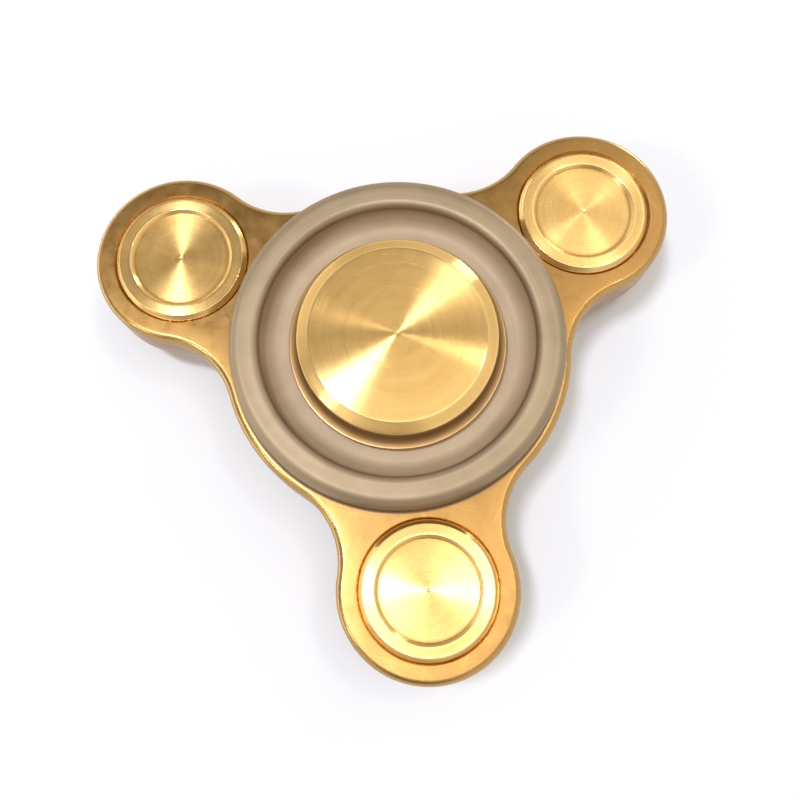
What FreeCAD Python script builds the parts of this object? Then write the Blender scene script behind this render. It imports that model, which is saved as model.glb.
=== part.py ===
"""Three-arm hand spinner: a brass body that turns on a ball bearing between two finger caps.

The origin is the centre of the lower cap's resting face and +Z runs up the spin axis.
Heights in the sizes below are measured from the middle plane, about which the spinner is
symmetric. Lengths are in millimetres.
"""
import FreeCAD, Part
import math
import os

# Ball bearing: a standard R188, a quarter inch bore and half inch outside diameter.
BEARING_BORE = 6.35
BEARING_OUTER = 12.7
BEARING_WIDTH = 4.762
BALL_COUNT = 10
BALL_DIAMETER = 1.5875
BALL_CLEARANCE = 0.03            # between a ball and each raceway
RACEWAY_DEPTH = 0.28
CAGE_CLEARANCE = 0.15            # between the cage and each race's land
CAGE_CROWN_WALL = 0.45           # closed side of the cage, past its pockets
CAGE_PRONG_DEPTH = 0.35          # open side of the cage, below the middle plane
POCKET_CLEARANCE = 0.06          # between a ball and its pocket
SHIELD_THICKNESS = 0.2
SHIELD_SEAT_STEP = 0.5           # seat's reach outside the outer race's land
SHIELD_CLEARANCE = 0.1           # between a shield and the inner race
SNAP_RING_THICKNESS = 0.25
SNAP_RING_WIDTH = 0.45
SNAP_GROOVE_LIP = 0.18           # outer race's lip outside the snap ring
SNAP_GROOVE_DEPTH = 0.15
SNAP_RING_GAP_ANGLE = 24.0
RACE_EDGE = 0.15                 # chamfer on the corners of both races

# Finger caps.
CAP_RADIUS = 11.0
CAP_WALL_HEIGHT = 2.72
CAP_CHAMFER_WIDTH = 1.25
CAP_CHAMFER_HEIGHT = 0.8
CAP_FLANGE_STEP = 1.1            # flange's reach outside the cap's wall
CAP_FLANGE_THICKNESS = 0.8
CAP_COVE = 0.9                   # fillet between wall and flange
CAP_EDGE = 0.12                  # broken edges of the flange
CAP_BOSS_WIDTH = 0.825           # boss's reach outside the bearing's bore
SPACER_THICKNESS = 0.3

# Stud that joins the caps.
STUD_DIAMETER = 4.0
STUD_CHAMFER = 0.4
STUD_SOCKET = 2.0                # across the flats of its hexagon socket
STUD_SOCKET_DEPTH = 2.0
STUD_END_ROOM = 0.5              # tapped hole's length past the stud's end
STUD_HOLE_COVER = 2.4            # cap's metal over the tapped hole's end

# Hub and its raised collar.
SEAT_THICKNESS = 1.5             # shoulder and retaining ring, over the bearing's faces
SEAT_OVERLAP = 0.75              # how far both reach in over the outer race
RECESS_GAP = 3.1                 # width of the recess between flange and collar
COLLAR_WALL = 3.4
CAP_PROUD = 1.4                  # how far each cap's face stands proud of the collar
COLLAR_OUTER_ROUND = 1.2
COLLAR_INNER_ROUND = 0.9
COLLAR_COVE = 0.3                # fillet between collar and arms
RECESS_COVE = 2.0                # fillet between the recess's floor and the collar

# Retaining ring.
RING_COVER = 0.3                 # how far the cap's flange reaches out over the ring
RING_EDGE = 0.12                 # chamfer round its top
SKIRT_WALL = 1.8
SKIRT_DEPTH = 2.2
SPANNER_HOLE_COUNT = 4
SPANNER_HOLE_RADIUS = 0.8
SPANNER_HOLE_DEPTH = 0.7

# Arms and their weights.
ARM_COUNT = 3
FIRST_ARM_ANGLE = 30.0
ARM_THICKNESS = 6.0
ARM_EDGE_ROUND = 0.8
HUB_LEDGE = 0.4                  # flat of the arm plate outside the collar, between arms
ARM_FILLET = 9.0                 # concave radius between arm and hub
LOBE_WALL = 2.4
BORE_CHAMFER = 0.22              # on both mouths of each weight's bore
WEIGHT_RADIUS = 7.6
WEIGHT_MARGIN = 1.0              # between collar and weight
WEIGHT_PROUD = 0.4
WEIGHT_CHAMFER = 0.5
WEIGHT_RIM = 1.2
WEIGHT_DISH_DEPTH = 0.35
WEIGHT_DISH_SLOPE = 0.4

# Clearances.
FIT_CLEARANCE = 0.03             # radial, between bonded or located pieces
THREAD_CLEARANCE = 0.05          # radial, threads drawn as plain cylinders
CLAMP_GAP = 0.05                 # hub stays this far below the clamped bearing's face
CAP_CLEARANCE = 0.3              # between a flange and the turning hub below it
SPIGOT_GAP = 0.2                 # between the ends of the two caps' spigots
CUT_MARGIN = 1.0                 # how far a cutting tool runs past the face it opens

# Bearing radii.
bore_radius = BEARING_BORE / 2
outer_radius = BEARING_OUTER / 2
half_width = BEARING_WIDTH / 2
ball_radius = BALL_DIAMETER / 2
pitch_radius = (bore_radius + outer_radius) / 2
raceway_radius = ball_radius + BALL_CLEARANCE
inner_land = pitch_radius - ball_radius + RACEWAY_DEPTH
outer_land = pitch_radius + ball_radius - RACEWAY_DEPTH
shield_seat_radius = outer_land + SHIELD_SEAT_STEP
snap_groove_radius = shield_seat_radius + SNAP_GROOVE_DEPTH
pocket_radius = ball_radius + POCKET_CLEARANCE

# Heights above the middle plane.
cage_high = pocket_radius + CAGE_CROWN_WALL
snap_ring_high = half_width - SNAP_GROOVE_LIP
shield_high = snap_ring_high - SNAP_RING_THICKNESS
shield_low = shield_high - SHIELD_THICKNESS
spacer_high = half_width + SPACER_THICKNESS
floor_height = half_width + SEAT_THICKNESS
flange_low = floor_height + CAP_CLEARANCE
flange_high = flange_low + CAP_FLANGE_THICKNESS
wall_high = flange_high + CAP_WALL_HEIGHT
face_height = wall_high + CAP_CHAMFER_HEIGHT
collar_height = face_height - CAP_PROUD
stud_hole_end = face_height - STUD_HOLE_COVER
stud_end = stud_hole_end - STUD_END_ROOM
arm_top = ARM_THICKNESS / 2

# Radii from the spin axis.
spigot_radius = bore_radius - FIT_CLEARANCE
boss_radius = bore_radius + CAP_BOSS_WIDTH
stud_radius = STUD_DIAMETER / 2 - THREAD_CLEARANCE
face_radius = CAP_RADIUS - CAP_CHAMFER_WIDTH
flange_radius = CAP_RADIUS + CAP_FLANGE_STEP
seat_radius = outer_radius - SEAT_OVERLAP
recess_radius = flange_radius + RECESS_GAP
collar_radius = recess_radius + COLLAR_WALL
hub_plate_radius = collar_radius + HUB_LEDGE + ARM_EDGE_ROUND
recess_depth = collar_height - floor_height
recess_cove = min(RECESS_COVE, 0.75 * RECESS_GAP, 0.65 * recess_depth)
ring_bore_radius = flange_radius - RING_COVER
skirt_radius = ring_bore_radius - SKIRT_WALL
spanner_circle_radius = (seat_radius + skirt_radius) / 2
lobe_radius = WEIGHT_RADIUS + LOBE_WALL
arm_reach = collar_radius + WEIGHT_MARGIN + WEIGHT_RADIUS

AXIS = FreeCAD.Vector(0, 0, 1)
MIDDLE = FreeCAD.Vector(0, 0, face_height)
ORIGIN = FreeCAD.Vector(0, 0, 0)


def point(radius, height):
    """A point of a turned profile, in the XZ plane."""
    return FreeCAD.Vector(radius, 0, height)


def polar(radius, degrees, height=0.0):
    """A point at a radius and an angle round the spin axis."""
    angle = math.radians(degrees)
    return FreeCAD.Vector(radius * math.cos(angle), radius * math.sin(angle), height)


def line(start, end):
    return Part.LineSegment(start, end).toShape()


def arc(start, middle, end):
    return Part.Arc(start, middle, end).toShape()


def quarter_arc(start, end, centre):
    """A round of a quarter turn from start to end about centre."""
    radius = (start - centre).Length
    outward = start + end - centre * 2
    return arc(start, centre + outward.normalize() * radius, end)


def lathe(edges):
    """The solid of a closed profile turned about the spin axis."""
    return Part.Face(Part.Wire(edges)).revolve(ORIGIN, AXIS, 360)


def turned(points):
    """The solid of a profile of straight lines, given as radius and height pairs."""
    corners = [point(radius, height) for radius, height in points]
    return lathe([line(corners[i - 1], corners[i]) for i in range(len(corners))])


def tube(inner, outer, low, high):
    return turned([(inner, low), (outer, low), (outer, high), (inner, high)])


def disc(radius, low, high, centre=ORIGIN):
    return Part.makeCylinder(radius, high - low, centre + FreeCAD.Vector(0, 0, low), AXIS)


def cove(radius, height, size, side):
    """A ring of metal with a hollow round, for the corner of a floor and a round wall.

    It lies outside the wall's radius where side is 1, and inside it where side is -1.
    """
    corner = point(radius, height)
    foot = corner + point(side * size, 0)
    top = corner + point(0, size)
    centre = corner + point(side * size, size)
    middle = centre - point(side * size, size) * math.sqrt(0.5)
    return lathe([line(corner, foot), arc(foot, middle, top), line(top, corner)])


def flipped(shape):
    """The same piece turned over about the X axis, for the other side."""
    turned_over = shape.copy()
    turned_over.rotate(ORIGIN, FreeCAD.Vector(1, 0, 0), 180)
    return turned_over


def save(name, shape):
    """Lift a piece from the middle plane to its height on the table, and write it."""
    placed = shape.copy()
    placed.translate(MIDDLE)
    placed.exportStep("parts/" + name + ".step")


def ball_centres():
    return [polar(pitch_radius, 360.0 * i / BALL_COUNT) for i in range(BALL_COUNT)]


def make_inner_race():
    low, high = -half_width, half_width
    blank = turned([(bore_radius, low + RACE_EDGE), (bore_radius + RACE_EDGE, low),
                    (inner_land, low), (inner_land, high),
                    (bore_radius + RACE_EDGE, high), (bore_radius, high - RACE_EDGE)])
    return blank.cut(Part.makeTorus(pitch_radius, raceway_radius))


def make_outer_race():
    low, high = -half_width, half_width
    blank = turned([(outer_land, low), (outer_radius - RACE_EDGE, low),
                    (outer_radius, low + RACE_EDGE), (outer_radius, high - RACE_EDGE),
                    (outer_radius - RACE_EDGE, high), (outer_land, high)])
    race = blank.cut(Part.makeTorus(pitch_radius, raceway_radius))
    seat = disc(shield_seat_radius, shield_low, half_width + CUT_MARGIN)
    groove = disc(snap_groove_radius, shield_high, snap_ring_high)
    seat_cutter = seat.fuse(groove)
    return race.cut([seat_cutter, flipped(seat_cutter)])


def make_cage():
    crown = tube(inner_land + CAGE_CLEARANCE, outer_land - CAGE_CLEARANCE,
                 -CAGE_PRONG_DEPTH, cage_high)
    return crown.cut([Part.makeSphere(pocket_radius, centre) for centre in ball_centres()])


def make_shield():
    return tube(inner_land + SHIELD_CLEARANCE, shield_seat_radius, shield_low, shield_high)


def make_snap_ring():
    ring = tube(snap_groove_radius - SNAP_RING_WIDTH, snap_groove_radius,
                shield_high, snap_ring_high)
    half_gap = SNAP_RING_GAP_ANGLE / 2
    reach = outer_radius / math.cos(math.radians(half_gap))
    corners = [polar(0, 0, shield_low), polar(reach, -half_gap, shield_low),
               polar(reach, half_gap, shield_low)]
    wedge = Part.Face(Part.makePolygon(corners + corners[:1])).extrude(AXIS * half_width)
    return ring.cut(wedge)


def make_cap():
    """The upper cap: face, chamfer, wall, flange, boss and the spigot in the bearing."""
    edge = CAP_EDGE
    blank = turned([
        (0, SPIGOT_GAP / 2), (spigot_radius, SPIGOT_GAP / 2), (spigot_radius, spacer_high),
        (boss_radius, spacer_high), (boss_radius, flange_low),
        (flange_radius - edge, flange_low), (flange_radius, flange_low + edge),
        (flange_radius, flange_high - edge), (flange_radius - edge, flange_high),
        (CAP_RADIUS, flange_high), (CAP_RADIUS, wall_high), (face_radius, face_height),
        (0, face_height)])
    tapped_hole = disc(STUD_DIAMETER / 2, -CUT_MARGIN, stud_hole_end)
    return blank.fuse(cove(CAP_RADIUS, flange_high, CAP_COVE, 1)).cut(tapped_hole)


def make_spacer():
    return tube(bore_radius, boss_radius, half_width, spacer_high)


def make_stud():
    end = stud_end
    tip = stud_radius - STUD_CHAMFER
    rod = turned([(0, -end), (tip, -end), (stud_radius, STUD_CHAMFER - end),
                  (stud_radius, end - STUD_CHAMFER), (tip, end), (0, end)])
    corner_radius = STUD_SOCKET / math.sqrt(3)
    corners = [polar(corner_radius, 60 * i, end - STUD_SOCKET_DEPTH) for i in range(6)]
    hexagon = Part.Face(Part.makePolygon(corners + corners[:1]))
    return rod.cut(hexagon.extrude(AXIS * (STUD_SOCKET_DEPTH + CUT_MARGIN)))


def arm_outline():
    """The flat outline of hub and arms: round ends, concave fillets and hub arcs."""
    fillet_distance = hub_plate_radius + ARM_FILLET
    lobe_distance = lobe_radius + ARM_FILLET
    cosine = ((arm_reach ** 2 + fillet_distance ** 2 - lobe_distance ** 2)
              / (2 * arm_reach * fillet_distance))
    fillet_angle = math.degrees(math.acos(cosine))
    arm_step = 360.0 / ARM_COUNT
    edges = []
    for i in range(ARM_COUNT):
        arm_angle = FIRST_ARM_ANGLE + i * arm_step
        lobe_centre = polar(arm_reach, arm_angle)
        hub_points = []
        lobe_points = []
        fillet_middles = []
        for side in (-1, 1):
            angle = arm_angle + side * fillet_angle
            centre = polar(fillet_distance, angle)
            hub_point = polar(hub_plate_radius, angle)
            lobe_point = lobe_centre + (centre - lobe_centre) * (lobe_radius / lobe_distance)
            inward = (hub_point + lobe_point - centre * 2).normalize()
            hub_points.append(hub_point)
            lobe_points.append(lobe_point)
            fillet_middles.append(centre + inward * ARM_FILLET)
        tip = polar(arm_reach + lobe_radius, arm_angle)
        next_hub_point = polar(hub_plate_radius, arm_angle + arm_step - fillet_angle)
        valley = polar(hub_plate_radius, arm_angle + arm_step / 2)
        edges.append(arc(hub_points[0], fillet_middles[0], lobe_points[0]))
        edges.append(arc(lobe_points[0], tip, lobe_points[1]))
        edges.append(arc(lobe_points[1], fillet_middles[1], hub_points[1]))
        edges.append(arc(hub_points[1], valley, next_hub_point))
    return Part.Wire(edges)


def flat_edges(shape, height, radius=None):
    """The edges that lie at a height, or only the circles there of one radius."""
    found = []
    for edge in shape.Edges:
        box = edge.BoundBox
        level = abs(box.ZMin - height) < 1e-4 and abs(box.ZMax - height) < 1e-4
        if not level:
            continue
        is_circle = isinstance(edge.Curve, Part.Circle)
        if radius is None or (is_circle and abs(edge.Curve.Radius - radius) < 1e-4):
            found.append(edge)
    return found


def make_arm_plate():
    outline = arm_outline()
    outline.translate(FreeCAD.Vector(0, 0, -arm_top))
    plate = Part.Face(outline).extrude(AXIS * ARM_THICKNESS)
    rims = flat_edges(plate, arm_top) + flat_edges(plate, -arm_top)
    return plate.makeFillet(ARM_EDGE_ROUND, rims)


def make_collar():
    """The raised collar of both sides as one ring, with rounded crests."""
    outer_round = min(COLLAR_OUTER_ROUND, 0.62 * COLLAR_WALL)
    inner_round = min(COLLAR_INNER_ROUND, 0.34 * COLLAR_WALL)
    crest_in = point(recess_radius + inner_round, collar_height)
    crest_out = point(collar_radius - outer_round, collar_height)
    wall_in = point(recess_radius, collar_height - inner_round)
    wall_out = point(collar_radius, collar_height - outer_round)
    inner_centre = point(crest_in.x, wall_in.z)
    outer_centre = point(crest_out.x, wall_out.z)
    foot_in = point(recess_radius, 0)
    foot_out = point(collar_radius, 0)
    half = lathe([line(foot_in, wall_in), quarter_arc(wall_in, crest_in, inner_centre),
                  line(crest_in, crest_out), quarter_arc(crest_out, wall_out, outer_centre),
                  line(wall_out, foot_out), line(foot_out, foot_in)])
    return half.fuse(flipped(half))


def make_body():
    """The one-piece body: arms, collar and hub, bored for the bearing, ring and weights."""
    core = disc(recess_radius, -floor_height, floor_height)
    body = make_arm_plate().fuse([make_collar(), core])
    recess = disc(recess_radius, floor_height, collar_height + CUT_MARGIN)
    ring_room = disc(ring_bore_radius, half_width - CLAMP_GAP, collar_height)
    skirt_channel = tube(skirt_radius, ring_bore_radius,
                         half_width - SKIRT_DEPTH - CLAMP_GAP, floor_height)
    bearing_bore = disc(outer_radius + FIT_CLEARANCE, -half_width, floor_height)
    shoulder_hole = disc(seat_radius, -floor_height - CUT_MARGIN, 0)
    weight_bores = [disc(WEIGHT_RADIUS, -arm_top - CUT_MARGIN, arm_top + CUT_MARGIN, centre)
                    for centre in arm_ends()]
    body = body.cut([recess, flipped(recess), ring_room, skirt_channel, bearing_bore,
                     shoulder_hole] + weight_bores)
    recess_root = cove(recess_radius, floor_height, recess_cove, -1)
    body = body.fuse([recess_root, flipped(recess_root)]).removeSplitter()
    mouths = flat_edges(body, arm_top, WEIGHT_RADIUS) + flat_edges(body, -arm_top, WEIGHT_RADIUS)
    body = body.makeChamfer(BORE_CHAMFER, mouths)
    roots = flat_edges(body, arm_top, collar_radius) + flat_edges(body, -arm_top, collar_radius)
    return body.makeFillet(min(COLLAR_COVE, 0.75 * HUB_LEDGE), roots)


def make_retaining_ring():
    """The screwed ring over the bearing: a flat top, a skirt and holes for a pin spanner."""
    ring_radius = ring_bore_radius - FIT_CLEARANCE
    ring = turned([
        (seat_radius, half_width), (skirt_radius + FIT_CLEARANCE, half_width),
        (skirt_radius + FIT_CLEARANCE, half_width - SKIRT_DEPTH),
        (ring_radius, half_width - SKIRT_DEPTH), (ring_radius, floor_height - RING_EDGE),
        (ring_radius - RING_EDGE, floor_height), (seat_radius, floor_height)])
    holes = [disc(SPANNER_HOLE_RADIUS, floor_height - SPANNER_HOLE_DEPTH,
                  floor_height + CUT_MARGIN,
                  polar(spanner_circle_radius, 360.0 * i / SPANNER_HOLE_COUNT))
             for i in range(SPANNER_HOLE_COUNT)]
    return ring.cut(holes)


def arm_ends():
    return [polar(arm_reach, FIRST_ARM_ANGLE + 360.0 * i / ARM_COUNT) for i in range(ARM_COUNT)]


def make_weight():
    """A turned weight with a chamfered rim and a shallow dish on both faces."""
    radius = WEIGHT_RADIUS - FIT_CLEARANCE
    top = arm_top + WEIGHT_PROUD
    dish = top - WEIGHT_DISH_DEPTH
    rim = radius - WEIGHT_CHAMFER - WEIGHT_RIM
    upper = [(radius, top - WEIGHT_CHAMFER), (radius - WEIGHT_CHAMFER, top), (rim, top),
             (rim - WEIGHT_DISH_SLOPE, dish), (0, dish)]
    lower = [(r, -height) for r, height in reversed(upper)]
    return turned(lower + upper)


def main():
    os.makedirs("parts", exist_ok=True)
    save("spinner_body", make_body())
    save("retaining_ring", make_retaining_ring())
    weight = make_weight()
    for i, centre in enumerate(arm_ends()):
        placed = weight.copy()
        placed.translate(centre)
        save("weight_%d" % (i + 1), placed)
    save("cap_stud", make_stud())
    save("bearing_inner_race", make_inner_race())
    save("bearing_outer_race", make_outer_race())
    save("bearing_cage", make_cage())
    for i, centre in enumerate(ball_centres()):
        save("bearing_ball_%02d" % (i + 1), Part.makeSphere(ball_radius, centre))
    for side, place in (("upper", lambda shape: shape), ("lower", flipped)):
        save(side + "_cap", place(make_cap()))
        save(side + "_spacer", place(make_spacer()))
        save("bearing_shield_" + side, place(make_shield()))
        save("bearing_snap_ring_" + side, place(make_snap_ring()))


main()
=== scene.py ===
"""Looks of the brass hand spinner: turned caps, collared body, weights, studio and camera.

Lengths named here are in millimetres until they reach a mesh, which is in metres. Heights
are measured from the spinner's middle plane, about which it is symmetric.
"""
import math

import bpy
import numpy as np
from mathutils import Matrix, Vector


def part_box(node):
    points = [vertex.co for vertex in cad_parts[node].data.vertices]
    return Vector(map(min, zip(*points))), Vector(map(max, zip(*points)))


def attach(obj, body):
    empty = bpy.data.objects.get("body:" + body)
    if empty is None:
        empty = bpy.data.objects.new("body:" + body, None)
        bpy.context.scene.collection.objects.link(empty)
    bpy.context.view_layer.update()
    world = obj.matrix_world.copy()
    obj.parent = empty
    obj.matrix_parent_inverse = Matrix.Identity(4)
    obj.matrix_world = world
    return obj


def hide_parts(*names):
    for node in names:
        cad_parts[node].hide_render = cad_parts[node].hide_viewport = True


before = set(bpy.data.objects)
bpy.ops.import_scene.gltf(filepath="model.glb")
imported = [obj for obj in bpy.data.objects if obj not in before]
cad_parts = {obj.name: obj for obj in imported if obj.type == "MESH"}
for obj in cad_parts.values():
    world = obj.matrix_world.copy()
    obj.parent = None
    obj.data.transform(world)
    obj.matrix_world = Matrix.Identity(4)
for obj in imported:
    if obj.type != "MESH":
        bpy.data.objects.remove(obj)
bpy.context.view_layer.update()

MM = 0.001

# Meshes.
TURN_STEPS = 256                 # facets round the spin axis
WEIGHT_STEPS = 160
HOLE_STEPS = 32
EDGE_STEPS = 4
ROUND_STEPS = 14
SHARP_ANGLE = 32.0               # faces that meet at more degrees than this stay sharp
CUTTER_OVERSHOOT = 0.3           # how far a bore's cutter stands out of the arm
ON_AXIS = 1e-6                   # a smaller radius is on the axis

# Edges, and the wear and the painted corner shade that go with them.
EDGE = 0.1                       # radius of a broken edge
INNER_EDGE = 0.2                 # the same, where a cap is hidden in the hub
LARGE_ROUND = 0.35               # rounds from here on are shapes, not broken edges
WEAR_AND_SHADE_REACH = 0.3                 # how far a rubbed edge, or the painted shade of a hollow corner, spreads
WEAR_AND_SHADE_SHARE = 0.4                 # of a short side, the most that rubbed wear and painted corner shade spread over
FIT_CLEARANCE = 0.03

# Finger caps.
CAP_RADIUS = 11.0
CAP_CHAMFER_WIDTH = 1.25
CAP_CHAMFER_HEIGHT = 0.8
CAP_FLANGE_THICKNESS = 0.8
FLANGE_GAP = 0.3                 # from the flange to the turning hub
CAP_COVE = 0.9                   # where the wall meets the flange
CAP_EDGE_ROUND = 0.2             # where the wall meets the chamfer
CAP_EDGE_STEPS = 8
FACE_EDGE = 0.06                 # where the chamfer meets the face
CAP_CROWN = 0.15                 # the face falls this far from its middle to its edge
CAP_CROWN_STEPS = 8
BOSS_RADIUS = 4.0
SPIGOT_RADIUS = 3.145
STUD_HOLE_RADIUS = 2.0
STUD_HOLE_COVER = 2.4            # metal between the stud's hole and the face
SPACER_THICKNESS = 0.3
CENTRE_MARK_RADIUS = 0.25        # of the dimple that turning leaves in a face's middle
CENTRE_MARK_DEPTH = 0.1
CENTRE_MARK_EDGE = 0.04

# Bearing seat, recess and collar.
BEARING_HALF_WIDTH = 2.381
BEARING_SEAT_RADIUS = 6.38
SHOULDER_RADIUS = 5.6
CLAMP_GAP = 0.05                 # the ring bears on the race, not on the hub
RECESS_GAP = 3.1                 # from the flange to the collar
RECESS_COVE = 2.0                # where the recess's floor rises to the collar
SKIRT_WALL = 1.8                 # of the retaining ring's threaded skirt
SKIRT_DEPTH = 2.2
COLLAR_WALL = 3.4
COLLAR_OUTER_ROUND = 1.2
COLLAR_INNER_ROUND = 0.9
COLLAR_COVE = 0.3                # where the collar meets the arms
COVE_LANDING = 0.02              # a narrow flat strip outside that cove
RING_EDGE = 0.12
SPANNER_HOLE_COUNT = 4
SPANNER_HOLE_RADIUS = 0.8
SPANNER_HOLE_DEPTH = 0.7
SPANNER_HOLE_OVERSHOOT = 0.5

# Arms and weights.
ARM_COUNT = 3
ARM_THICKNESS = 6.0
ARM_EDGE_ROUND = 0.8
HUB_LEDGE = 0.4                  # flat strip round the collar, between the arms
ARM_FILLET = 9.0                 # between hub and arm, seen from above
FILLET_STEPS = 28
LOBE_STEPS = 96
HUB_STEPS = 26                   # between two arms
LOBE_WALL = 2.4                  # metal round a weight
BORE_CHAMFER = 0.22
WEIGHT_CHAMFER = 0.5
WEIGHT_RIM = 1.2
WEIGHT_DISH_DEPTH = 0.35
WEIGHT_DISH_SLOPE = 0.4

# Wear of metal, and painted shade in its small hollow corners.
TARNISH = 0.3                    # share of the dark tone in its patches, unless said otherwise
RUBBED_TONE = 0.45               # share of the bright tone on a rubbed edge
CORNER_SHADE_TONE = 0.6                 # share of the dark tone in a small hollow corner: painted shade
RUBBED_GLOSS = 0.3               # share of its roughness that a rubbed edge loses
# Each RANGE is the part of a noise's values over which it takes effect.
SMUDGE_RANGE = (0.35, 0.7)

# Turned metal. The scales of clouds, smudges, grain and scratches are per metre.
TURNED_CLOUDS = 160.0
TURNED_CLOUD_RANGE = (0.42, 0.72)
TURNED_SMUDGES = 620.0
TURNED_SHINE = (-0.015, 0.02)    # how smudges change the roughness, at least and at most
LINE_PITCH = 0.09                # of the finest tool lines
LINE_DEPTH = 0.5                 # strength of their bump
LINE_RANGE = (0.3, 0.7)
LINE_SHINE = (-0.02, 0.02)
LINE_WANDER = 0.6                # how much the lines change on their way round
BAND_COARSENESS = 0.16           # broad bands to one tool line
BAND_TONE = 0.22                 # share of the bright tone on a band
LINE_RELIEF, BAND_RELIEF = 0.6, 0.8
TURNED_RELIEF = 0.02             # height of lines and bands

# Milled, tumbled and polished metal.
MILLED_CLOUDS = 140.0
MILLED_CLOUD_RANGE = (0.4, 0.72)
MILLED_SMUDGES = 520.0
MILLED_SHINE = (-0.04, 0.06)
GRAIN = 9000.0
SCRATCHES = ((0.5, 2340.0), (1.9, 1980.0), (2.7, 2700.0))   # direction in radians, and scale
SCRATCH_ALONG, SCRATCH_UPRIGHT = 160.0, 400.0               # their scale in other directions
SCRATCH_RANGE = (0.62, 0.78)
SCRATCH_TONE = 0.12              # share of the bright tone in a scratch
GRAIN_RELIEF, SCRATCH_RELIEF = 0.35, 0.5
MILLED_BUMP = 0.25
MILLED_RELIEF = 0.01             # height of grain and scratches

# Camera: above and a little in front, close enough for strong perspective.
CAMERA_AZIMUTH = -7.0
CAMERA_ELEVATION = 77.7
CAMERA_DISTANCE = 95.0
CAMERA_AIM_FORWARD = -7.4
CAMERA_AIM_SIDEWAYS = 0.25
CAMERA_LENS = 40.5
CAMERA_SENSOR = 36.0
CAMERA_NEAREST = 0.001           # metres: nothing closer is drawn

# Studio.
LAMP_DISTANCE = 1.5              # metres
TABLE_REACH = 3.0                # metres from the middle to each side of the table top
TABLE_TONE = (254, 252, 249)
TABLE_ROUGHNESS = 0.6
TABLE_FADE = (0.1, 0.4)          # metres from the spinner: the table turns to plain white
WHITE = (1, 1, 1)
COOL = (0.9, 0.97, 1.16)
TOWARDS_CAMERA = 270             # azimuth, in degrees from the camera's right hand
FACE_VIEW_ELEVATION = 73.5       # of the camera, seen from the upper cap's face
WORLD_LIGHT = 0.36
# Soft dark patches in reflections: azimuth, elevation, reach in degrees, and brightness.
FLAGS = ((102, 57, 29, 0.05), (190, 40, 32, 0.5), (262, 34, 30, 0.15))


def frame_sizes():
    """The driving sizes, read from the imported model, in millimetres."""
    cap_low, cap_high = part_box("upper_cap")
    body_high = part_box("spinner_body")[1]
    ring_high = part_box("retaining_ring")[1]
    weight_low, weight_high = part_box("weight_1")
    face = cap_high.z / 2 / MM
    weights = []
    for name in ("weight_1", "weight_2", "weight_3"):
        low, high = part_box(name)
        centre = (low + high) / 2 / MM
        weights.append((name, centre.x, centre.y))
    return {
        "face": face,            # also the middle plane's height above the table
        "spigot": cap_low.z / MM - face,
        "flange_radius": cap_high.x / MM,
        "crest": body_high.z / MM - face,
        "floor": ring_high.z / MM - face,
        "ring_radius": ring_high.x / MM,
        "weights": weights,
        "weight_radius": (weight_high.x - weight_low.x) / 2 / MM,
        "weight_top": weight_high.z / MM - face,
    }


SIZE = frame_sizes()
recess_radius = SIZE["flange_radius"] + RECESS_GAP
ring_bore = SIZE["ring_radius"] + FIT_CLEARANCE
skirt_radius = ring_bore - SKIRT_WALL
collar_radius = recess_radius + COLLAR_WALL
cove_radius = collar_radius + COLLAR_COVE
arm_top = ARM_THICKNESS / 2
weight_bore = SIZE["weight_radius"] + FIT_CLEARANCE
lobe_radius = weight_bore + LOBE_WALL
arm_reach = math.hypot(SIZE["weights"][0][1], SIZE["weights"][0][2])
first_arm = math.atan2(SIZE["weights"][0][2], SIZE["weights"][0][1])
hub_plate_radius = collar_radius + HUB_LEDGE + ARM_EDGE_ROUND


# ---------------------------------------------------------------- profiles and meshes

def rounded(corners, closed=False):
    """A profile with its corners rounded. A corner is (radius, height, rounding, steps).

    The rounding and the steps may be left out. The result is a list of (radius, height,
    wear_and_shade), where wear_and_shade is 1 on a broken edge, which is drawn rubbed, and
    -1 in a small hollow corner, which gets painted shade. The metal is on the left along
    the profile.
    """
    count = len(corners)
    result = []
    for i, corner in enumerate(corners):
        here = Vector(corner[:2])
        rounding = corner[2] if len(corner) > 2 else 0.0
        at_end = not closed and i in (0, count - 1)
        if rounding <= 0 or at_end:
            result.append((here.x, here.y, 0.0))
            continue
        before = Vector(corners[i - 1][:2]) - here
        after = Vector(corners[(i + 1) % count][:2]) - here
        half = before.angle(after) / 2
        cut_back = rounding / math.tan(half)
        bisector = (before.normalized() + after.normalized()).normalized()
        centre = here + bisector * (rounding / math.sin(half))
        start = before.normalized() * cut_back + here - centre
        end = after.normalized() * cut_back + here - centre
        turn = start.angle_signed(end)
        steps = corner[3] if len(corner) > 3 else EDGE_STEPS
        wear_and_shade = 0.0
        if rounding < LARGE_ROUND:
            wear_and_shade = math.copysign(1.0, after.cross(before))
            result.append(fade_out(here, before, cut_back))
        for step in range(steps + 1):
            angle = -turn * step / steps
            cosine, sine = math.cos(angle), math.sin(angle)
            x = start.x * cosine - start.y * sine
            y = start.x * sine + start.y * cosine
            result.append((centre.x + x, centre.y + y, wear_and_shade))
        if rounding < LARGE_ROUND:
            result.append(fade_out(here, after, cut_back))
    return result


def fade_out(corner, side, cut_back):
    """The point along a side of a corner where its rubbed wear or painted shade has faded to
    nothing.
    """
    room = side.length - cut_back
    place = corner + side.normalized() * (cut_back + min(WEAR_AND_SHADE_REACH, WEAR_AND_SHADE_SHARE * room))
    return (place.x, place.y, 0.0)


def make_mesh(name, points, faces, wear_and_shade):
    """A mesh object from points in millimetres about the middle plane."""
    points = np.asarray(points, float)
    points[:, 2] += SIZE["face"]
    mesh = bpy.data.meshes.new(name)
    mesh.from_pydata((points * MM).tolist(), [], faces)
    attribute = mesh.attributes.new("wear_and_shade", "FLOAT", "POINT")
    attribute.data.foreach_set("value", np.asarray(wear_and_shade, np.float32))
    obj = bpy.data.objects.new(name, mesh)
    bpy.context.scene.collection.objects.link(obj)
    smooth(obj)
    return obj


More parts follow.
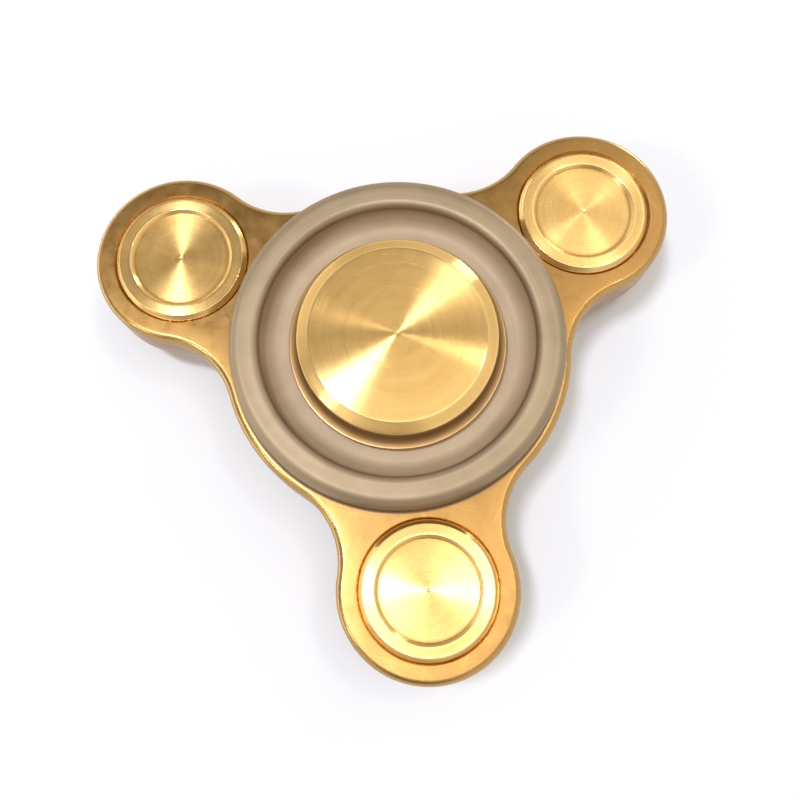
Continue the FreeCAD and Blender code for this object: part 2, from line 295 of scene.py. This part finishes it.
def smooth(obj):
    """Smooth shading, kept sharp where faces meet at more than SHARP_ANGLE."""
    mesh = obj.data
    mesh.polygons.foreach_set("use_smooth", [True] * len(mesh.polygons))
    mesh.set_sharp_from_angle(angle=math.radians(SHARP_ANGLE))
    mesh.update()


def lathe(name, profile, centre=(0.0, 0.0), steps=TURN_STEPS, closed=False):
    """A turned solid. An open profile runs from the axis round the outside to the axis."""
    angles = np.linspace(0, 2 * math.pi, steps, endpoint=False)
    points, wear_and_shade, faces, rings = [], [], [], []
    for radius, height, edge in profile:
        first = len(points)
        if radius < ON_AXIS:
            points.append((centre[0], centre[1], height))
            wear_and_shade.append(edge)
            rings.append([first] * steps)
            continue
        for angle in angles:
            x = centre[0] + radius * math.cos(angle)
            y = centre[1] + radius * math.sin(angle)
            points.append((x, y, height))
            wear_and_shade.append(edge)
        rings.append(list(range(first, first + steps)))
    pairs = list(zip(rings, rings[1:]))
    if closed:
        pairs.append((rings[-1], rings[0]))
    for lower, upper in pairs:
        for i in range(steps):
            j = (i + 1) % steps
            face = [lower[i], lower[j], upper[j], upper[i]]
            faces.append(list(dict.fromkeys(face)))
    return make_mesh(name, points, faces, wear_and_shade)


def cut(obj, cutters):
    """Takes the cutters out of obj for good, and deletes them."""
    for cutter in cutters:
        modifier = obj.modifiers.new("cut", "BOOLEAN")
        modifier.operation = "DIFFERENCE"
        modifier.solver = "EXACT"
        modifier.object = cutter
    depsgraph = bpy.context.evaluated_depsgraph_get()
    mesh = bpy.data.meshes.new_from_object(obj.evaluated_get(depsgraph))
    mesh.name = obj.name
    obj.modifiers.clear()
    obj.data = mesh
    for cutter in cutters:
        bpy.data.objects.remove(cutter)
    smooth(obj)


def mirrored(profile):
    """The same profile turned over about the middle plane, still running upwards."""
    return [(radius, -height, edge) for radius, height, edge in reversed(profile)]


def polygon_centres(obj):
    """The x, y and height of each polygon's centre, in millimetres, as three arrays."""
    polygons = obj.data.polygons
    centres = np.empty(len(polygons) * 3)
    polygons.foreach_get("center", centres)
    x, y, z = centres.reshape(-1, 3).T / MM
    return x, y, z - SIZE["face"]


# ---------------------------------------------------------------- caps

def cap_profile():
    """The upper cap from the end of its spigot out to the middle of its face."""
    face, spigot = SIZE["face"], SIZE["spigot"]
    flange_radius = SIZE["flange_radius"]
    flange_low = SIZE["floor"] + FLANGE_GAP
    flange_high = flange_low + CAP_FLANGE_THICKNESS
    wall_high = face - CAP_CHAMFER_HEIGHT
    face_radius = CAP_RADIUS - CAP_CHAMFER_WIDTH
    hole_end = face - STUD_HOLE_COVER
    boss_low = BEARING_HALF_WIDTH + SPACER_THICKNESS
    crown = []
    for step in range(CAP_CROWN_STEPS - 1, 0, -1):
        share = step / CAP_CROWN_STEPS
        crown.append((face_radius * share, face - CAP_CROWN * share ** 2))
    return rounded([
        (0, hole_end), (STUD_HOLE_RADIUS, hole_end), (STUD_HOLE_RADIUS, spigot, INNER_EDGE),
        (SPIGOT_RADIUS, spigot, INNER_EDGE), (SPIGOT_RADIUS, boss_low),
        (BOSS_RADIUS, boss_low, EDGE), (BOSS_RADIUS, flange_low, INNER_EDGE),
        (flange_radius, flange_low, EDGE), (flange_radius, flange_high, EDGE),
        (CAP_RADIUS, flange_high, CAP_COVE, ROUND_STEPS),
        (CAP_RADIUS, wall_high, CAP_EDGE_ROUND, CAP_EDGE_STEPS),
        (face_radius, face - CAP_CROWN, FACE_EDGE), *crown,
        (CENTRE_MARK_RADIUS, face, CENTRE_MARK_EDGE), (0, face - CENTRE_MARK_DEPTH)])


def make_caps():
    """The upper cap, and the lower one, which is the same turned over."""
    profile = cap_profile()
    upper = lathe("upper_cap_turned", profile)
    lower = lathe("lower_cap_turned", mirrored(profile))
    for cap, node in ((upper, "upper_cap"), (lower, "lower_cap")):
        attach(cap, "holder")
        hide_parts(node)
    return [upper, lower]


def mark_cap_sides(cap):
    """Gives the cap's wall and flange its second material, whose darker tone is painted shade
    under the face.
    """
    height = np.abs(polygon_centres(cap)[2])
    side = height < SIZE["face"] - CAP_CHAMFER_HEIGHT - CAP_EDGE_ROUND
    cap.data.polygons.foreach_set("material_index", side.astype(np.int32))


# ---------------------------------------------------------------- body

def arm_outline():
    """The outline of hub and arms as (point, outward normal) pairs, once round."""
    fillet_distance = hub_plate_radius + ARM_FILLET
    lobe_distance = lobe_radius + ARM_FILLET
    cosine = ((arm_reach ** 2 + fillet_distance ** 2 - lobe_distance ** 2)
              / (2 * arm_reach * fillet_distance))
    spread = math.acos(cosine)
    arm_step = 2 * math.pi / ARM_COUNT
    hub = Vector((0, 0))
    lobe = Vector((arm_reach, 0))
    fillet = Vector((math.cos(spread), math.sin(spread))) * fillet_distance
    fillet_below = Vector((fillet.x, -fillet.y))
    lobe_half = math.atan2(fillet.y, fillet.x - arm_reach)
    # Centre, radius, first and last angle, steps, and 1 where metal is inside the circle.
    arcs = [
        (fillet_below, ARM_FILLET, -spread - math.pi, -lobe_half - math.pi, FILLET_STEPS, -1),
        (lobe, lobe_radius, -lobe_half, lobe_half, LOBE_STEPS, 1),
        (fillet, ARM_FILLET, lobe_half + math.pi, spread + math.pi, FILLET_STEPS, -1),
        (hub, hub_plate_radius, spread, arm_step - spread, HUB_STEPS, 1)]
    outline = []
    for i in range(ARM_COUNT):
        turn = Matrix.Rotation(first_arm + i * arm_step, 2)
        for centre, radius, start, end, steps, side in arcs:
            for step in range(steps):
                angle = start + (end - start) * step / steps
                outward = Vector((math.cos(angle), math.sin(angle)))
                outline.append((turn @ (centre + outward * radius), turn @ (outward * side)))
    return outline


def body_sections():
    """The body's cross-section in three runs: lower side, rim of the arms, upper side.

    The first and last run hold radii from the spin axis. The rim holds insets from the
    outline instead, so that it follows the arms.
    """
    floor, crest = SIZE["floor"], SIZE["crest"]
    web = BEARING_HALF_WIDTH - CLAMP_GAP
    channel = web - SKIRT_DEPTH
    landing = cove_radius + COVE_LANDING
    lower = rounded([
        (SHOULDER_RADIUS, -BEARING_HALF_WIDTH), (SHOULDER_RADIUS, -floor, EDGE),
        (recess_radius, -floor, RECESS_COVE, ROUND_STEPS),
        (recess_radius, -crest, COLLAR_INNER_ROUND, ROUND_STEPS),
        (collar_radius, -crest, COLLAR_OUTER_ROUND, ROUND_STEPS),
        (collar_radius, -arm_top, COLLAR_COVE), (landing, -arm_top)])
    upper = rounded([
        (landing, arm_top), (collar_radius, arm_top, COLLAR_COVE),
        (collar_radius, crest, COLLAR_OUTER_ROUND, ROUND_STEPS),
        (recess_radius, crest, COLLAR_INNER_ROUND, ROUND_STEPS),
        (recess_radius, floor, RECESS_COVE, ROUND_STEPS), (ring_bore, floor, EDGE),
        (ring_bore, channel), (skirt_radius, channel), (skirt_radius, web),
        (BEARING_SEAT_RADIUS, web), (BEARING_SEAT_RADIUS, -BEARING_HALF_WIDTH)])
    rim = []
    for side in (-1, 1):
        quarter = []
        for step in range(ROUND_STEPS + 1):
            angle = math.pi / 2 * step / ROUND_STEPS
            inset = ARM_EDGE_ROUND * (1 - math.sin(angle))
            height = arm_top - ARM_EDGE_ROUND * (1 - math.cos(angle))
            quarter.append((inset, side * height, math.sin(2 * angle)))
        rim += quarter if side < 0 else quarter[::-1]
    return lower, rim, upper


def make_body():
    """The one-piece body: collar, hub and arms, bored for the weights."""
    outline = arm_outline()
    sections = body_sections()
    lower, rim, upper = sections
    points, wear_and_shade = [], []
    for corner, normal in outline:
        along = corner.normalized()
        for run in sections:
            for distance, height, edge in run:
                x, y = along.x * distance, along.y * distance
                if run is rim:
                    x, y = corner - normal * distance
                points.append((x, y, height))
                wear_and_shade.append(edge)
    rows = len(lower) + len(rim) + len(upper)
    columns = len(outline)
    faces = []
    for i in range(columns):
        here, beside = i * rows, (i + 1) % columns * rows
        for row in range(rows):
            above = (row + 1) % rows
            faces.append((here + row, beside + row, beside + above, here + above))
    body = make_mesh("spinner_body_dressed", points, faces, wear_and_shade)
    flare = weight_bore + BORE_CHAMFER + CUTTER_OVERSHOOT
    outside = arm_top + CUTTER_OVERSHOOT
    straight = arm_top - BORE_CHAMFER
    bore = [(0, -outside, 0), (flare, -outside, 0), (weight_bore, -straight, 0),
            (weight_bore, straight, 0), (flare, outside, 0), (0, outside, 0)]
    cut(body, [lathe("bore", bore, (x, y), WEIGHT_STEPS) for _, x, y in SIZE["weights"]])
    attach(body, "rotor")
    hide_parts("spinner_body")
    return body


def mark_turned_zone(body):
    """Gives the collar the body's second material, and all inside it the third."""
    x, y, _ = polygon_centres(body)
    radius = np.hypot(x, y)
    zone = np.where(radius < cove_radius, 1, 0)
    zone[radius < recess_radius] = 2
    body.data.polygons.foreach_set("material_index", zone.astype(np.int32))


def make_retaining_ring():
    """The screwed ring in the upper recess, with its holes for a pin spanner."""
    skirt_inner = skirt_radius + FIT_CLEARANCE
    skirt_end = BEARING_HALF_WIDTH - SKIRT_DEPTH
    outer, floor = SIZE["ring_radius"], SIZE["floor"]
    ring = lathe("retaining_ring_turned", rounded([
        (SHOULDER_RADIUS, BEARING_HALF_WIDTH), (skirt_inner, BEARING_HALF_WIDTH),
        (skirt_inner, skirt_end), (outer, skirt_end, EDGE), (outer, floor, RING_EDGE),
        (SHOULDER_RADIUS, floor, EDGE)], closed=True), closed=True)
    low, high = floor - SPANNER_HOLE_DEPTH, floor + SPANNER_HOLE_OVERSHOOT
    hole = [(0, low, 0), (SPANNER_HOLE_RADIUS, low, 0), (SPANNER_HOLE_RADIUS, high, 0),
            (0, high, 0)]
    circle = (SHOULDER_RADIUS + skirt_radius) / 2
    holes = []
    for i in range(SPANNER_HOLE_COUNT):
        angle = 2 * math.pi * i / SPANNER_HOLE_COUNT
        place = (circle * math.cos(angle), circle * math.sin(angle))
        holes.append(lathe("hole", hole, place, HOLE_STEPS))
    cut(ring, holes)
    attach(ring, "rotor")
    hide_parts("retaining_ring")
    return ring


def make_weights():
    """Turned weights with a chamfered rim and a shallow dish on both faces."""
    radius, top = SIZE["weight_radius"], SIZE["weight_top"]
    rim = radius - WEIGHT_CHAMFER - WEIGHT_RIM
    dish = top - WEIGHT_DISH_DEPTH
    upper = rounded([
        (radius, 0), (radius, top - WEIGHT_CHAMFER, EDGE), (radius - WEIGHT_CHAMFER, top, EDGE),
        (rim, top, EDGE), (rim - WEIGHT_DISH_SLOPE, dish, EDGE),
        (CENTRE_MARK_RADIUS, dish, CENTRE_MARK_EDGE), (0, dish - CENTRE_MARK_DEPTH)])
    profile = mirrored(upper)[:-1] + upper[1:]
    weights = []
    for name, x, y in SIZE["weights"]:
        weight = lathe(name + "_turned", profile, (x, y), WEIGHT_STEPS)
        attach(weight, "rotor")
        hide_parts(name)
        weights.append((weight, x, y))
    return weights


# ---------------------------------------------------------------- materials

class Nodes:
    """A material's node tree, with short calls to add and link its nodes."""

    def __init__(self, owner):
        """owner is the name of a new material, or a world."""
        if isinstance(owner, str):
            owner = bpy.data.materials.new(owner)
        owner.use_nodes = True
        self.material = owner
        self.tree = owner.node_tree
        self.shader = self.tree.nodes.get("Principled BSDF")

    def put(self, socket, value):
        """Links value to the socket if it is a socket too, or else sets the socket to it."""
        if isinstance(value, bpy.types.NodeSocket):
            self.tree.links.new(value, socket)
        else:
            socket.default_value = value

    def add(self, kind, inputs=(), **settings):
        """A new node. inputs is in the order of its sockets, or goes by their names."""
        node = self.tree.nodes.new("ShaderNode" + kind)
        for key, value in settings.items():
            setattr(node, key, value)
        pairs = inputs.items() if isinstance(inputs, dict) else enumerate(inputs)
        for key, value in pairs:
            self.put(node.inputs[key], value)
        return node

    def math(self, operation, *inputs):
        return self.add("Math", inputs, operation=operation).outputs[0]

    def vector(self, operation, *inputs):
        node = self.add("VectorMath", inputs, operation=operation)
        return node.outputs["Value" if operation in ("LENGTH", "DOT_PRODUCT") else "Vector"]

    def noise(self, vector, scale, detail=2.0, roughness=0.5):
        inputs = {"Vector": vector, "Scale": scale, "Detail": detail, "Roughness": roughness}
        return self.add("TexNoise", inputs).outputs["Fac"]

    def remap(self, value, low, high, to_low=0.0, to_high=1.0):
        return self.add("MapRange", [value, low, high, to_low, to_high]).outputs[0]

    def mix(self, factor, first, second):
        """A blend of two colours. A Mix node has them at inputs 6 and 7, and output 2."""
        node = self.add("Mix", data_type="RGBA")
        self.put(node.inputs["Factor"], factor)
        self.put(node.inputs[6], first)
        self.put(node.inputs[7], second)
        return node.outputs[2]

    def set(self, **values):
        """Sets or links inputs of the main shader, named with _ for a space."""
        for key, value in values.items():
            self.put(self.shader.inputs[key.replace("_", " ")], value)


def colour(red, green, blue):
    """A linear colour from the usual 0 to 255 values."""
    linear = []
    for value in (red, green, blue):
        value = value / 255
        linear.append(value / 12.92 if value <= 0.04045 else ((value + 0.055) / 1.055) ** 2.4)
    return (*linear, 1.0)


def edge_tones(n, tone, dark, bright):
    """Rubbed edges and painted shade in hollow corners over a tone, and how rubbed each place
    is.
    """
    wear_and_shade = n.add("Attribute", attribute_name="wear_and_shade").outputs["Fac"]
    rubbed = n.math("MAXIMUM", wear_and_shade, 0.0)
    # Painted shade: small hollow corners take the dark tone.
    corner_shade = n.math("MAXIMUM", n.math("MULTIPLY", wear_and_shade, -1.0), 0.0)
    tone = n.mix(n.math("MULTIPLY", rubbed, RUBBED_TONE), tone, bright)
    tone = n.mix(n.math("MULTIPLY", corner_shade, CORNER_SHADE_TONE), tone, dark)
    return tone, rubbed


def turned_metal(name, tones, roughness, anisotropy=0.0, centre=(0.0, 0.0),
                 line_pitch=LINE_PITCH, line_depth=LINE_DEPTH, tarnish=TARNISH, metallic=1.0):
    """Metal turned about a vertical axis: fine rings, tarnish, smudges and bright edges.

    tones are its plain, dark and bright colours, centre is the axis in millimetres, and
    line_pitch is the spacing of the finest tool lines.
    """
    base, dark, bright = tones
    n = Nodes(name)
    place = n.add("TexCoord").outputs["Object"]
    offset = n.vector("SUBTRACT", place, (centre[0] * MM, centre[1] * MM, 0))
    flat = n.vector("MULTIPLY", offset, (1, 1, 0))
    radius = n.vector("LENGTH", flat)
    outward = n.vector("NORMALIZE", flat)
    height = n.add("SeparateXYZ", [offset]).outputs[2]
    across = n.math("MULTIPLY", n.math("ADD", radius, height), 1 / (line_pitch * MM))
    round_trip = n.vector("MULTIPLY", outward, (LINE_WANDER, LINE_WANDER, LINE_WANDER))
    lines_at = n.vector("ADD", round_trip, n.add("CombineXYZ", [0.0, 0.0, across]).outputs[0])
    bands_at = n.vector("MULTIPLY", lines_at, (1, 1, BAND_COARSENESS))
    lines = n.noise(lines_at, 1.0, detail=3.0, roughness=0.65)
    bands = n.noise(bands_at, 1.0)
    cloud = n.noise(place, TURNED_CLOUDS, detail=4.0, roughness=0.6)
    smudge = n.noise(place, TURNED_SMUDGES, detail=3.0, roughness=0.55)

    relief = n.math("ADD", n.math("MULTIPLY", lines, LINE_RELIEF),
                    n.math("MULTIPLY", bands, BAND_RELIEF))
    bump = n.add("Bump", {"Strength": line_depth, "Distance": TURNED_RELIEF * MM,
                          "Height": relief})

    tone = n.mix(n.remap(cloud, *TURNED_CLOUD_RANGE, to_high=tarnish), base, dark)
    tone = n.mix(n.remap(bands, *LINE_RANGE, to_high=BAND_TONE), tone, bright)
    tone, rubbed = edge_tones(n, tone, dark, bright)

    least, most = TURNED_SHINE
    rough = n.remap(smudge, *SMUDGE_RANGE, roughness + least, roughness + most)
    rough = n.math("ADD", rough, n.remap(lines, *LINE_RANGE, *LINE_SHINE))
    rough = n.math("SUBTRACT", rough, n.math("MULTIPLY", rubbed, roughness * RUBBED_GLOSS))

    n.set(Metallic=metallic, Base_Color=tone, Roughness=rough, Normal=bump.outputs[0])
    if anisotropy > 0:
        around = n.vector("CROSS_PRODUCT", (0.0, 0.0, 1.0), outward)
        around = n.add("VectorTransform", [around], vector_type="VECTOR",
                       convert_from="OBJECT", convert_to="WORLD").outputs[0]
        normal = n.add("NewGeometry").outputs["Normal"]
        n.set(Anisotropic=anisotropy, Tangent=n.vector("CROSS_PRODUCT", normal, around))
    return n.material


def milled_metal(name, tones, roughness):
    """Tumbled and hand-polished metal: fine crossing scratches, tarnish, bright edges."""
    base, dark, bright = tones
    n = Nodes(name)
    place = n.add("TexCoord").outputs["Object"]
    cloud = n.noise(place, MILLED_CLOUDS, detail=4.0, roughness=0.6)
    smudge = n.noise(place, MILLED_SMUDGES, detail=3.0, roughness=0.55)
    grain = n.noise(place, GRAIN)
    families = []
    for turn, across in SCRATCHES:
        turned = n.add("VectorRotate", {"Vector": place, "Angle": turn}).outputs[0]
        drawn = n.vector("MULTIPLY", turned, (across, SCRATCH_ALONG, SCRATCH_UPRIGHT))
        families.append(n.noise(drawn, 1.0, roughness=0.6))
    first, second, third = families
    scratch = n.math("MAXIMUM", n.math("MAXIMUM", first, second), third)
    scratch = n.remap(scratch, *SCRATCH_RANGE)

    relief = n.math("SUBTRACT", n.math("MULTIPLY", grain, GRAIN_RELIEF),
                    n.math("MULTIPLY", scratch, SCRATCH_RELIEF))
    bump = n.add("Bump", {"Strength": MILLED_BUMP, "Distance": MILLED_RELIEF * MM,
                          "Height": relief})

    tone = n.mix(n.remap(cloud, *MILLED_CLOUD_RANGE, to_high=TARNISH), base, dark)
    tone = n.mix(n.math("MULTIPLY", scratch, SCRATCH_TONE), tone, bright)
    tone, rubbed = edge_tones(n, tone, dark, bright)

    least, most = MILLED_SHINE
    rough = n.remap(smudge, *SMUDGE_RANGE, roughness + least, roughness + most)
    rough = n.math("SUBTRACT", rough, n.math("MULTIPLY", rubbed, roughness * RUBBED_GLOSS))

    n.set(Metallic=1.0, Base_Color=tone, Roughness=rough, Normal=bump.outputs[0])
    return n.material


def dress(obj, *materials):
    """Gives obj these materials in place of those it has."""
    obj.data.materials.clear()
    for material in materials:
        obj.data.materials.append(material)


# Plain, dark and bright tones of each metal.
GOLD_BRASS = (colour(226, 180, 106), colour(176, 128, 64), colour(244, 212, 146))
WARM_BRASS = (colour(162, 122, 68), colour(114, 82, 42), colour(222, 184, 118))
# The cap's side tone is darker than its face: painted shade under the face's edge.
SHADED_SIDE_BRASS = (colour(146, 110, 68), colour(100, 72, 42), colour(214, 174, 112))
GREY_BRASS = (colour(156, 134, 104), colour(110, 90, 66), colour(202, 180, 146))
# The recess is matt, and its tone is set lighter than the collar's: painted light that lifts
# the shade in the recess.
MATT_LIT_BRASS = (colour(194, 168, 133), colour(146, 120, 89), colour(216, 194, 162))
STEEL = (colour(190, 190, 194), colour(140, 140, 146), colour(225, 225, 230))
BALL_STEEL = (colour(214, 214, 218), colour(180, 180, 186), colour(235, 235, 238))
SPRING_STEEL = (colour(120, 118, 116), colour(80, 78, 78), colour(170, 168, 166))
BLACK_OXIDE = (colour(44, 44, 47), colour(30, 30, 32), colour(90, 90, 92))


def dress_brass(caps, body, ring, weights):
    """Brass on the pieces made here: brushed faces, rougher sides darkened with painted shade,
    and a matt recess lightened with painted light.
    """
    cap_brass = turned_metal("cap_brass", GOLD_BRASS, roughness=0.25, anisotropy=0.98,
                             line_depth=0.3, tarnish=0.1)
    # Painted shade: the cap's wall and flange take a darker brass than the face.
    shaded_side_brass = turned_metal("cap_shaded_side_brass", SHADED_SIDE_BRASS, roughness=0.48, anisotropy=0.2,
                              metallic=0.75)
    for cap in caps:
        dress(cap, cap_brass, shaded_side_brass)
        mark_cap_sides(cap)
    collar_brass = turned_metal("collar_brass", GREY_BRASS, roughness=0.52,
                                line_pitch=0.14, metallic=0.75)
    # Painted light: the recess takes a lighter tone than the collar of the same piece.
    recess_lit_brass = turned_metal("recess_lit_brass", MATT_LIT_BRASS, roughness=0.55,
                                line_pitch=0.14, metallic=0.2)
    body_brass = milled_metal("body_brass", WARM_BRASS, roughness=0.3)
    dress(body, body_brass, collar_brass, recess_lit_brass)
    mark_turned_zone(body)
    dress(ring, recess_lit_brass)
    for weight, x, y in weights:
        dress(weight, turned_metal(weight.name + "_brass", GOLD_BRASS, roughness=0.28,
                                   anisotropy=0.85, centre=(x, y), line_pitch=0.11))


def dress_steel():
    """Steel on the pieces that show their own solids: bearing, washers and stud."""
    ground = turned_metal("bearing_steel", STEEL, roughness=0.22, anisotropy=0.3)
    plate = turned_metal("plate_steel", STEEL, roughness=0.32, anisotropy=0.3)
    spring = turned_metal("spring_steel", SPRING_STEEL, roughness=0.3)
    black = turned_metal("black_oxide", BLACK_OXIDE, roughness=0.4)
    ball = milled_metal("ball_steel", BALL_STEEL, roughness=0.1)
    finish_of = {"bearing_inner_race": ground, "bearing_outer_race": ground,
                 "bearing_cage": plate, "cap_stud": black,
                 "upper_spacer": plate, "lower_spacer": plate}
    for side in ("upper", "lower"):
        finish_of["bearing_shield_" + side] = plate
        finish_of["bearing_snap_ring_" + side] = spring
    for name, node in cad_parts.items():
        if name in finish_of:
            dress(node, finish_of[name])
        elif name.startswith("bearing_ball"):
            dress(node, ball)


# ---------------------------------------------------------------- studio

def direction(azimuth, elevation):
    """A unit vector. azimuth, in degrees, is counted from the camera's right hand."""
    a, e = math.radians(azimuth + CAMERA_AZIMUTH), math.radians(elevation)
    return Vector((math.cos(a) * math.cos(e), math.sin(a) * math.cos(e), math.sin(e)))


def make_floor():
    """A wide white table top under the spinner, which fades to plain white further out."""
    reach = TABLE_REACH
    mesh = bpy.data.meshes.new("table_top")
    corners = [(-reach, -reach, 0), (reach, -reach, 0), (reach, reach, 0), (-reach, reach, 0)]
    mesh.from_pydata(corners, [], [(0, 1, 2, 3)])
    floor = bpy.data.objects.new("table_top", mesh)
    bpy.context.scene.collection.objects.link(floor)
    n = Nodes("table_white")
    n.set(Base_Color=colour(*TABLE_TONE), Roughness=TABLE_ROUGHNESS)
    distance = n.vector("LENGTH", n.add("TexCoord").outputs["Object"])
    path = n.add("LightPath").outputs
    seen = n.math("MAXIMUM", path["Is Camera Ray"], path["Is Glossy Ray"])
    fade = n.math("MULTIPLY", n.remap(distance, *TABLE_FADE), seen)
    white = n.add("Emission").outputs[0]
    blend = n.add("MixShader", [fade, n.shader.outputs[0], white]).outputs[0]
    n.put(n.tree.nodes["Material Output"].inputs["Surface"], blend)
    dress(floor, n.material)


def lamp_side(angle):
    """The length in metres of a lamp's side that spans an angle in degrees."""
    return 2 * LAMP_DISTANCE * math.tan(math.radians(angle) / 2)


def add_lamp(name, azimuth, elevation, width, height, brightness, tint=WHITE,
             across_streak=False):
    """A rectangular soft lamp that looks at the spinner.

    azimuth is counted from the camera's right hand. The angles, in degrees, and the
    brightness are those seen from the spinner. The lamp's width is level, or lies across
    the streak that the lamp gives the turned faces.
    """
    data = bpy.data.lights.new(name, "AREA")
    data.shape = "RECTANGLE"
    data.size, data.size_y = lamp_side(width), lamp_side(height)
    data.energy = math.pi * data.size * data.size_y * brightness
    data.color = tint
    lamp = bpy.data.objects.new(name, data)
    bpy.context.scene.collection.objects.link(lamp)
    place = direction(azimuth, elevation)
    lamp.location = place * LAMP_DISTANCE
    turn = place.to_track_quat("Z", "Y")
    if across_streak:
        streak = place + direction(TOWARDS_CAMERA, FACE_VIEW_ELEVATION)
        across = Vector((-streak.y, streak.x, 0))
        across = (across - place * across.dot(place)).normalized()
        turn = Matrix((across, place.cross(across), place)).transposed().to_quaternion()
    lamp.rotation_euler = turn.to_euler()
    lamp.visible_camera = False


def make_lamps():
    """High lamps for the streaks of the turned faces, and others for rims, edges and arms.

    A lamp gives a turned face two streaks, one on each side of its centre. The key lamp's
    are the brightest, then those of right and second. The overhead lamp's are broad and dim.
    """
    add_lamp("key", 177, 75, 9.5, 4.5, 90, tint=COOL, across_streak=True)
    add_lamp("second", 234, 77, 11, 8, 6.5, across_streak=True)
    add_lamp("left", 165, 3, 90, 8, 3.2)
    add_lamp("low_back", 56, 10, 12, 7, 20)
    add_lamp("right", 32, 69, 3, 4, 40, across_streak=True)
    add_lamp("overhead", 350, 80, 30, 10, 3.9, across_streak=True)
    add_lamp("back_right", 58, 58, 14, 14, 1.5)
    add_lamp("rim", 208, 46, 8, 8, 13)


def make_world():
    """Even white surroundings: full white to the eye and in reflections, dimmer as light.

    Reflections also find soft dark patches, as a photographer's flags give to metal.
    """
    world = bpy.data.worlds.new("studio")
    bpy.context.scene.world = world
    n = Nodes(world)
    path = n.add("LightPath").outputs
    toward = n.add("TexCoord").outputs["Generated"]
    glossy = path["Is Glossy Ray"]
    for azimuth, elevation, reach, brightness in FLAGS:
        nearness = n.vector("DOT_PRODUCT", toward, direction(azimuth, elevation))
        shade = n.remap(nearness, math.cos(math.radians(reach)), 1.0, 1.0, brightness)
        glossy = n.math("MULTIPLY", glossy, shade)
    seen = n.math("MAXIMUM", path["Is Camera Ray"], path["Is Transmission Ray"])
    level = n.math("MAXIMUM", n.math("MAXIMUM", seen, glossy), WORLD_LIGHT)
    background = n.tree.nodes["Background"]
    n.put(background.inputs["Color"], (1, 1, 1, 1))
    n.put(background.inputs["Strength"], level)


def make_camera():
    """The camera, aimed in front of the caps' axis at the height of the upper face."""
    data = bpy.data.cameras.new("camera")
    data.lens = CAMERA_LENS
    data.sensor_width = CAMERA_SENSOR
    data.clip_start = CAMERA_NEAREST
    camera = bpy.data.objects.new("camera", data)
    bpy.context.scene.collection.objects.link(camera)
    bpy.context.scene.camera = camera
    back = direction(TOWARDS_CAMERA, CAMERA_ELEVATION)
    sideways, forward = direction(0, 0), direction(90, 0)
    aim = sideways * CAMERA_AIM_SIDEWAYS + forward * CAMERA_AIM_FORWARD
    aim.z = 2 * SIZE["face"]
    camera.location = (aim + back * CAMERA_DISTANCE) * MM
    camera.rotation_euler = back.to_track_quat("Z", "Y").to_euler()


dress_brass(make_caps(), make_body(), make_retaining_ring(), make_weights())
dress_steel()
make_floor()
make_world()
make_lamps()
make_camera()
bpy.context.scene.view_settings.view_transform = "Standard"
